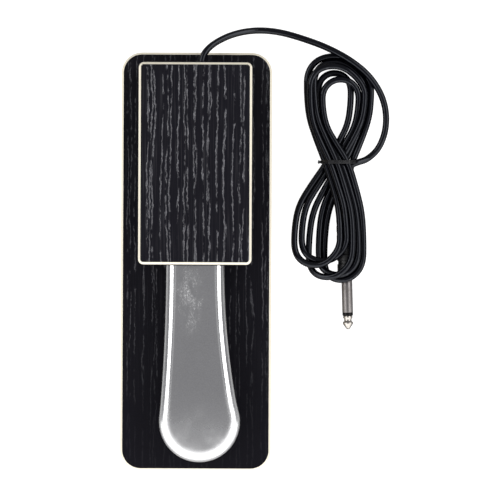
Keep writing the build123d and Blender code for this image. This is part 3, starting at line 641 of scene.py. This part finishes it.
# Raw fibreboard is pale where it faces up and is sanded. Faces that turn to the sides get a
# browner tan, which is painted shade, and random specks and burns brown it here and there.
fibres, given, made = new_group(
    "raw_fibreboard",
    {"Place": (0, 0, 0), "Sanded Colour": (0.9, 0.85, 0.7, 1), "Shaded Side Colour": (0.6, 0.5, 0.3, 1),
     "Fibre Size": 0.0007})
facing = put(fibres, "ShaderNodeNewGeometry").outputs["Normal"]
upward = put(fibres, "ShaderNodeSeparateXYZ", {0: facing}).outputs["Z"]
fibre_rate = math_node(fibres, "DIVIDE", 1.0, given.outputs["Fibre Size"])
specks = noise(fibres, stretched(fibres, given.outputs["Place"], 1.0, 1.0, 2.6), fibre_rate,
               4.0, 0.65)
burns = noise(fibres, given.outputs["Place"], 70.0, 3.0)
# Painted shade: the more a face turns from the sky, the nearer it is drawn to the darker tan.
side_shade_and_specks = math_node(fibres, "SUBTRACT", 1.0, band(fibres, upward, 0.1, 0.6))
side_shade_and_specks = math_node(fibres, "ADD", times(fibres, side_shade_and_specks, 0.7),
                   times(fibres, band(fibres, specks, 0.5, 0.75), 0.25),
                   times(fibres, band(fibres, burns, 0.5, 0.8), 0.15))
fibres.links.new(mix_colour(fibres, side_shade_and_specks, given.outputs["Sanded Colour"],
                            given.outputs["Shaded Side Colour"]), made.inputs["Colour"])
fibres.links.new(band(fibres, specks, 0.3, 0.7, 0.62, 0.9), made.inputs["Roughness"])
fibres.links.new(specks, made.inputs["Height"])

# One set of pores: wavy lines a gap apart, each shifted, swayed and broken off by itself. A
# pore is a soft grey band between two finer, brighter edges that break off on their own; the
# brighter edges are a painted highlight, where the raised rims of the pore would catch the light.
pore_lines, given, made = new_group(
    "pore_lines", {"Across": 0.0, "Along": 0.0, "Gap": 0.0034, "Width": 0.0004, "Seed": 0.0,
                   "Break": 0.5}, {"Lines": "NodeSocketFloat"})
place_in_row = math_node(pore_lines, "DIVIDE", given.outputs["Across"], given.outputs["Gap"])
row = math_node(pore_lines, "FLOOR", place_in_row)
row_number = math_node(pore_lines, "ADD", times(pore_lines, row, 7.31), given.outputs["Seed"])
chance = put(pore_lines, "ShaderNodeTexWhiteNoise", {"W": row_number},
             noise_dimensions="1D").outputs["Value"]
along_row = put(pore_lines, "ShaderNodeCombineXYZ",
                {0: row_number, 1: given.outputs["Along"]}).outputs[0]
sway = noise(pore_lines, stretched(pore_lines, along_row, 1.0, 42.0, 1.0), 1.0, 2.0, 0.6)
shifted = math_node(pore_lines, "ADD", times(pore_lines, chance, 0.46),
                    times(pore_lines, sway, 0.50))
beside = math_node(pore_lines, "SUBTRACT", math_node(pore_lines, "FRACT", place_in_row), shifted)
side = math_node(pore_lines, "SIGN", beside)
off_line = times(pore_lines, math_node(pore_lines, "ABSOLUTE", beside), given.outputs["Gap"])
swell = noise(pore_lines, stretched(pore_lines, along_row, 3.0, 210.0, 1.0), 1.0, 2.0, 0.6)
half_width = times(pore_lines, band(pore_lines, swell, 0.28, 0.72, 0.45, 1.45),
                   given.outputs["Width"])
share = math_node(pore_lines, "DIVIDE", off_line, half_width)
breaks = noise(pore_lines, stretched(pore_lines, along_row, 5.0, 62.0, 1.0), 1.0, 3.0, 0.65)
unbroken = math_node(pore_lines, "SUBTRACT", breaks, given.outputs["Break"])
body = times(pore_lines, band(pore_lines, share, 1.15, 0.8, 0.0, 0.27),
             band(pore_lines, unbroken, -0.03, 0.05))
# The two brighter edges are a painted highlight along the pore's raised rims.
edge_number = math_node(pore_lines, "ADD", row_number, times(pore_lines, side, 2.3))
edge_row = put(pore_lines, "ShaderNodeCombineXYZ",
               {0: edge_number, 1: given.outputs["Along"]}).outputs[0]
edge_breaks = noise(pore_lines, stretched(pore_lines, edge_row, 2.0, 240.0, 1.0), 1.0, 3.0, 0.75)
off_edge = math_node(pore_lines, "ABSOLUTE", math_node(pore_lines, "SUBTRACT", share, 0.85))
edge = math_node(pore_lines, "MULTIPLY", band(pore_lines, off_edge, 0.42, 0.12),
                 band(pore_lines, edge_breaks, 0.44, 0.62, 0.0, 0.85),
                 band(pore_lines, unbroken, -0.07, 0.0))
pore_lines.links.new(math_node(pore_lines, "ADD", body, edge), made.inputs["Lines"])

# Black facing: two sets of pale pores over faint hair lines, fading towards the front.
grain, given, made = new_group(
    "open_grain",
    {"Place": (0, 0, 0), "Face Colour": (0.006, 0.006, 0.007, 1), "Pore Colour": (0.2, 0.2, 0.2, 1),
     "Pore Strength": 1.0, "Front Strength": 1.0, "Front Y": -0.1, "Rear Y": 0.0,
     "Line Gap": 0.0036, "Line Width": 0.0004, "Break": 0.47})
grain_place = given.outputs["Place"]
parts = put(grain, "ShaderNodeSeparateXYZ", {0: grain_place})
wave = noise(grain, stretched(grain, grain_place, 50.0, 17.0, 1.0), 1.0, 2.0, 0.45)
ripple = noise(grain, stretched(grain, grain_place, 240.0, 330.0, 1.0), 1.0, 1.0, 0.5)
swayed = math_node(grain, "ADD", parts.outputs["X"], times(grain, wave, 0.0050),
                   times(grain, ripple, 0.0010))
wide_gap = times(grain, given.outputs["Line Gap"], 1.9)
sets = []
for seed, gap in ((3.7, given.outputs["Line Gap"]), (41.2, wide_gap)):
    feeds = {"Across": swayed, "Along": parts.outputs["Y"], "Gap": gap, "Seed": seed,
             "Width": given.outputs["Line Width"], "Break": given.outputs["Break"]}
    sets.append(put(grain, "ShaderNodeGroup", feeds, node_tree=pore_lines).outputs["Lines"])
pores = math_node(grain, "MAXIMUM", *sets)
fray = noise(grain, stretched(grain, grain_place, 3000.0, 1100.0, 1.0), 1.0, 2.0, 0.7)
pores = times(grain, pores, band(grain, fray, 0.3, 0.6, 0.55, 1.0))
hair = noise(grain, stretched(grain, grain_place, 1900.0, 26.0, 1.0), 1.0, 2.0, 0.5)
pores = math_node(grain, "ADD", pores, times(grain, band(grain, hair, 0.5, 0.8), 0.09))
faded = put(grain, "ShaderNodeMapRange", {"Value": parts.outputs["Y"],
                                          "From Min": given.outputs["Front Y"],
                                          "From Max": given.outputs["Rear Y"],
                                          "To Min": given.outputs["Front Strength"],
                                          "To Max": given.outputs["Pore Strength"]}).outputs[0]
pores = times(grain, pores, faded)
grain.links.new(mix_colour(grain, pores, given.outputs["Face Colour"],
                           given.outputs["Pore Colour"]), made.inputs["Colour"])
grain.links.new(band(grain, pores, 0.0, 1.0, 0.40, 0.62), made.inputs["Roughness"])
grain.links.new(math_node(grain, "SUBTRACT", 1.0, pores), made.inputs["Height"])


def laminate(name, face, pore, strength, front_strength, front_y, rear_y, line_gap, line_width,
             line_break, round_walls=False):
    """Black facing with open grain that runs lengthwise, or level round the walls."""
    return grouped(name, grain,
                   {"Face Colour": (*face, 1), "Pore Colour": (*pore, 1),
                    "Pore Strength": strength, "Front Strength": front_strength,
                    "Front Y": front_y, "Rear Y": rear_y, "Line Gap": line_gap,
                    "Line Width": line_width, "Break": line_break},
                   0.4, 0.00008, round_walls, Specular_IOR_Level=0.08)


def paint(material, *names):
    """Gives a material to CAD pieces that keep their own shape."""
    for name in names:
        mesh = frame["nodes"][name].data
        mesh.materials.clear()
        mesh.materials.append(material)


housing_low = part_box("housing_film")[0]
base_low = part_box("base_laminate")[0]
# Sanded fibreboard, with painted shade making its side faces a darker tan.
raw_board = grouped("raw_board", fibres,
                    {"Sanded Colour": (0.93, 0.87, 0.72, 1), "Shaded Side Colour": (0.62, 0.50, 0.34, 1),
                     "Fibre Size": 0.0007}, 0.35, 0.00012, Specular_IOR_Level=0.2)
paint(raw_board, "base_board")
paint(laminate("base_facing", (0.0062, 0.0058, 0.0085), (0.24, 0.24, 0.26), strength=0.62,
               front_strength=0.08, front_y=base_low.y * 0.8, rear_y=housing_low.y,
               line_gap=0.0043, line_width=0.00026, line_break=0.49), "base_laminate")
paint(skinned("foot_rubber", (0.012, 0.012, 0.012), (0.028, 0.028, 0.027), 0.008, 0.0006,
              (0.6, 0.85), 0.5), "rubber_feet")
zinc = plated("zinc", (0.62, 0.62, 0.60), (0.42, 0.42, 0.39), 0.0006, 0.24, 0.2)
paint(zinc, "foot_screws")

# ---------------------------------------------------------------- housing
# A box of four glued fibreboard walls and a bevelled top. Black wood-grain film is wrapped
# round it and the top is faced like the base; long screws hold it from below.
paint(raw_board, "front_wall", "rear_wall", "left_wall", "right_wall", "housing_top")
paint(laminate("housing_facing", (0.0075, 0.0072, 0.0105), (0.29, 0.29, 0.31), strength=1.0,
               front_strength=1.0, front_y=base_low.y, rear_y=housing_low.y, line_gap=0.0045,
               line_width=0.00033, line_break=0.475), "housing_top_laminate")
paint(laminate("wood_film", (0.0075, 0.0072, 0.0105), (0.28, 0.28, 0.30), strength=0.8,
               front_strength=0.8, front_y=base_low.y, rear_y=housing_low.y, line_gap=0.0045,
               line_width=0.00036, line_break=0.48, round_walls=True), "housing_film")
paint(zinc, "housing_screws")

# ---------------------------------------------------------------- lever
# One pressed and chrome-plated steel sheet: a channel with rounded shoulders that widens
# to a round toe, and two lugs at the rear that carry the pivot bushes.
lever_low, lever_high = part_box("pedal_lever")
lever_sheet = 0.002
lever_half = 0.0173
lever_depth = 0.0095
lever_rear = 0.080
shoulder_width = 0.0082
shoulder_drop = 0.0055
toe_radius = 0.0235
toe_shift = 0.0026
toe_y = lever_low.y + toe_radius
flare_front = housing_low.y
flare_run = flare_front - toe_y
flare_steps = 14
shoulder_steps = 12
least_width = 0.02
nearly = 1e-5


def flare_radius(side):
    """Radius of the long arc on the left (-1) or right (1) side."""
    start = lever_half - side * toe_shift
    return (flare_run ** 2 + start ** 2 - toe_radius ** 2) / (2 * (toe_radius - start))


def side_place(side, y):
    """The x of the left or right side at y."""
    drop = flare_radius(side) ** 2 - (flare_front - min(y, flare_front)) ** 2
    return side * (lever_half + flare_radius(side) - drop ** 0.5)


def flare_end(side):
    """Where a side's long arc runs into the round toe."""
    reach = Vector((lever_half - side * toe_shift + flare_radius(side), flare_run)).normalized()
    return Vector((toe_shift + side * toe_radius * reach.x, toe_y + toe_radius * reach.y,
                   lever_high.z))


def select_edges(piece, wanted):
    """Selects only the edges whose two ends are wanted."""
    bpy.ops.mesh.select_mode(type="EDGE")
    bpy.ops.mesh.select_all(action="DESELECT")
    bpy.ops.object.mode_set(mode="OBJECT")
    corners = piece.data.vertices
    for edge in piece.data.edges:
        edge.select = wanted(corners[edge.vertices[0]].co, corners[edge.vertices[1]].co)
    bpy.ops.object.mode_set(mode="EDIT")


# The toe is the front of a round plate, cut across where the side arcs meet it.
left_end = flare_end(-1)
right_end = flare_end(1)
across = right_end - left_end
clear_selection()
bpy.ops.mesh.primitive_circle_add(vertices=144, radius=toe_radius, fill_type="NGON",
                                  location=(toe_shift, toe_y, lever_high.z))
lever = bpy.context.object
lever.name = "lever"
bpy.ops.object.transform_apply(location=True, rotation=False, scale=False)
bpy.ops.object.mode_set(mode="EDIT")
bpy.ops.mesh.select_all(action="SELECT")
bpy.ops.mesh.bisect(plane_co=left_end, plane_no=(-across.y, across.x, 0), clear_outer=True)
# From there its cut edge is drawn out in steps along the flare, then straight to the rear.
stations = [right_end.y + (flare_front - right_end.y) * (step + 1) / flare_steps
            for step in range(flare_steps)]
stations += [flare_front + (lever_rear - flare_front) / 2, lever_rear]
last_y = left_end.y
last_x = [left_end.x, right_end.x]
for station in stations:
    select_edges(lever, lambda one, two: abs(one.x - two.x) > least_width
                 and min(one.y, two.y) > last_y - nearly)
    next_x = [side_place(-1, station), side_place(1, station)]
    draw_out((sum(next_x) - sum(last_x)) / 2, station - last_y, 0)
    bpy.ops.transform.resize(value=((next_x[1] - next_x[0]) / (last_x[1] - last_x[0]), 0, 1),
                             center_override=(sum(next_x) / 2, station, lever_high.z))
    last_y = station
    last_x = next_x
# The plate is pressed down into a channel, and its upper edge rounded over. The rounding is
# wider than it is deep, so the channel is pressed too deep at first and then squashed.
squash = shoulder_drop / shoulder_width
bpy.ops.mesh.select_mode(type="FACE")
bpy.ops.mesh.select_all(action="SELECT")
draw_out(0, 0, -lever_depth / squash)
bpy.ops.mesh.delete(type="FACE")
select_edges(lever, lambda one, two: min(one.z, two.z) > lever_high.z - nearly
             and abs(one.x - two.x) < shoulder_width)
bpy.ops.mesh.bevel(offset=shoulder_width, segments=shoulder_steps, profile=0.5, affect="EDGES",
                   clamp_overlap=False)
bpy.ops.mesh.select_all(action="SELECT")
bpy.ops.transform.resize(value=(1, 1, squash), center_override=(0, 0, lever_high.z))
bpy.ops.mesh.remove_doubles(threshold=nearly)
face_outwards()
# The sheet gets its thickness inward, and its raw lower edge is eased.
thickness = lever.modifiers.new("sheet", "SOLIDIFY")
thickness.thickness = lever_sheet
thickness.offset = -1.0
bpy.ops.object.modifier_apply(modifier="sheet")
round_edges(lever, 0.00025, 2, 50)

# Each lug hangs from the skirt at the pivot: a round end with a bored hole, drawn up to the
# skirt.
pivot = Vector(next(joint for joint in frame["joints"] if joint["name"] == "pedal_hinge")["pos_m"])
lug_radius = 0.0065
lug_bore = 0.00357
lug_rise = (lever_low.z + lever_depth * 0.4 - pivot.z) * 0.6
lugs = []
for side in (-1, 1):
    lug_place = (side * (lever_half - lever_sheet), pivot.y, pivot.z)
    clear_selection()
    bpy.ops.mesh.primitive_circle_add(vertices=48, radius=lug_radius, fill_type="NOTHING",
                                      location=lug_place, rotation=(0, radians(90), 0))
    lug = bpy.context.object
    bpy.ops.object.transform_apply(location=True, rotation=True, scale=True)
    bpy.ops.object.mode_set(mode="EDIT")
    bpy.ops.mesh.primitive_circle_add(vertices=48, radius=lug_bore, fill_type="NOTHING",
                                      location=lug_place, rotation=(0, radians(90), 0))
    bpy.ops.mesh.select_all(action="SELECT")
    bpy.ops.mesh.bridge_edge_loops()
    select_edges(lug, lambda one, two: (one - pivot).yz.length > lug_radius - nearly
                 and (two - pivot).yz.length > lug_radius - nearly
                 and min(one.z, two.z) > pivot.z - nearly)
    bpy.ops.transform.translate(value=(0, 0, lug_rise))
    bpy.ops.mesh.select_all(action="SELECT")
    draw_out(side * lever_sheet, 0, 0)
    face_outwards()
    lugs.append(lug)
clear_selection()
for lug in lugs:
    lug.select_set(True)
lever.select_set(True)
bpy.context.view_layer.objects.active = lever
bpy.ops.object.join()
bpy.ops.object.shade_smooth_by_angle(angle=radians(35))
lever.modifiers.new("flat_faces", "WEIGHTED_NORMAL").keep_sharp = True
bpy.ops.object.modifier_apply(modifier="flat_faces")

# Bright chrome, dulled where shoes rub it: a mottled patch of fine scuffs before the housing,
# a haze on the toe, and a fine pebble all over.
scuff_place = (-0.0028, -0.020)
scuff_half = (0.0100, 0.026)
chrome, tree, shader, place = new_material("chrome", Metallic=1.0)
parts = put(tree, "ShaderNodeSeparateXYZ", {0: place})
pebble = noise(tree, place, 1500.0, 3.0, 0.65)
clouds = noise(tree, place, 70.0, 4.0, 0.6)
fleck_noise = noise(tree, stretched(tree, place, 1300.0, 800.0, 800.0), 1.0, 3.0, 0.75)
patch_noise = noise(tree, stretched(tree, place, 300.0, 110.0, 110.0), 1.0, 3.0, 0.65)
squares = []
for way, middle, half in zip(("X", "Y"), scuff_place, scuff_half):
    off_middle = math_node(tree, "ADD", parts.outputs[way], -middle)
    off_middle = math_node(tree, "DIVIDE", off_middle, half)
    squares.append(times(tree, off_middle, off_middle))
off_patch = math_node(tree, "ADD", *squares)
rubbed = times(tree, band(tree, off_patch, 1.2, 0.0), band(tree, patch_noise, 0.30, 0.66))
flecks = times(tree, band(tree, fleck_noise, 0.46, 0.70), rubbed)
toe_haze = times(tree, band(tree, parts.outputs["Y"], -0.060, -0.116),
                 band(tree, clouds, 0.2, 0.8, 0.7, 1.0))
dull = math_node(tree, "ADD", times(tree, flecks, 0.26), times(tree, rubbed, 0.16),
                 times(tree, toe_haze, 0.30), band(tree, clouds, 0.4, 0.8, 0.10, 0.17))
tree.links.new(dull, shader.inputs["Roughness"])
tone = math_node(tree, "ADD", times(tree, band(tree, pebble, 0.25, 0.75), 0.7),
                 times(tree, band(tree, clouds, 0.3, 0.7), 0.3))
tree.links.new(mix_colour(tree, tone, (0.86, 0.86, 0.86, 1), (0.70, 0.70, 0.705, 1)),
               shader.inputs["Base Color"])
scuff_height = math_node(tree, "ADD", times(tree, fleck_noise, rubbed),
                         times(tree, pebble, 0.25))
relief = put(tree, "ShaderNodeBump", {"Height": scuff_height, "Strength": 0.3, "Distance": 0.00004})
tree.links.new(relief.outputs[0], shader.inputs["Normal"])
lever.data.materials.clear()
lever.data.materials.append(chrome)
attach(lever, "pedal")
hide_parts("pedal_lever")

# ---------------------------------------------------------------- pivot
# A zinc-plated steel bracket on the base holds a ground pin between its ears. Spring clips
# keep the pin in, and the lever turns on it in flanged nylon bushes.
paint(zinc, "pivot_bracket", "bracket_screws")
paint(plated("ground_steel", (0.56, 0.56, 0.57), (0.40, 0.40, 0.41), 0.0003, 0.18, 0.15),
      "pivot_pin")
paint(plated("blued_steel", (0.16, 0.17, 0.21), (0.09, 0.09, 0.11), 0.0003, 0.28, 0.2),
      "pivot_clips")
natural_nylon = skinned("natural_nylon", (0.74, 0.72, 0.64), (0.62, 0.59, 0.50), 0.006, 0.0005,
                        (0.35, 0.5), 0.2, Subsurface_Weight=0.15, Subsurface_Scale=0.001)
paint(natural_nylon, "pivot_bushes")

# ---------------------------------------------------------------- spring and stops
# A coil spring on a nylon seat lifts the lever against a felt strip under the front wall's
# rail; a rubber bumper stops it at the bottom of its travel.
paint(natural_nylon, "spring_seat")
paint(plated("spring_wire", (0.30, 0.30, 0.31), (0.16, 0.15, 0.14), 0.0005, 0.30, 0.3),
      "return_spring")
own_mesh(frame["nodes"]["return_spring"])
paint(skinned("bumper_rubber", (0.016, 0.016, 0.016), (0.034, 0.034, 0.033), 0.006, 0.0006,
              (0.55, 0.8), 0.4), "down_stop_bumper")
felt, tree, shader, place = new_material("felt", Sheen_Weight=0.4, Specular_IOR_Level=0.1)
matted = noise(tree, stretched(tree, place, 900.0, 1500.0, 900.0), 1.0, 4.0, 0.8)
tree.links.new(mix_colour(tree, matted, (0.020, 0.020, 0.024, 1), (0.085, 0.085, 0.095, 1)),
               shader.inputs["Base Color"])
tree.links.new(band(tree, matted, 0.3, 0.7, 0.85, 1.0), shader.inputs["Roughness"])
relief = put(tree, "ShaderNodeBump", {"Height": matted, "Strength": 0.8, "Distance": 0.0003})
tree.links.new(relief.outputs[0], shader.inputs["Normal"])
paint(felt, "up_stop_felt")

# ---------------------------------------------------------------- switch
# A moulded plunger switch, screwed to a zinc-plated angle plate on the base. The lever pushes
# its red plunger, and its tinned brass terminals point down.
paint(skinned("switch_moulding", (0.010, 0.010, 0.011), (0.022, 0.022, 0.023), 0.005, 0.0004,
              (0.3, 0.45), 0.25), "switch_body")
paint(skinned("red_moulding", (0.42, 0.020, 0.012), (0.30, 0.014, 0.010), 0.003, 0.0003,
              (0.25, 0.4), 0.15), "switch_plunger")
paint(plated("tinned_brass", (0.70, 0.58, 0.32), (0.55, 0.50, 0.42), 0.0003, 0.22, 0.15),
      "switch_terminals")
paint(zinc, "switch_bracket", "switch_screws", "plate_screws")

# ---------------------------------------------------------------- cable inside the housing
# A rubber grommet lines the hole in the rear wall. The jacket is clipped to the base, and
# its two insulated cores run past the pivot to the switch.
paint(skinned("grommet_rubber", (0.010, 0.010, 0.010), (0.022, 0.022, 0.022), 0.005, 0.0005,
              (0.5, 0.7), 0.35), "cable_grommet")
paint(black_pvc, "cable_stub")
paint(natural_nylon, "cable_clip")
paint(zinc, "clip_screw")
paint(skinned("red_insulation", (0.45, 0.022, 0.014), (0.34, 0.016, 0.011), 0.004, 0.0004,
              (0.3, 0.45), 0.15), "signal_core")
paint(skinned("white_insulation", (0.72, 0.72, 0.69), (0.62, 0.61, 0.57), 0.004, 0.0004,
              (0.3, 0.45), 0.15), "return_core")
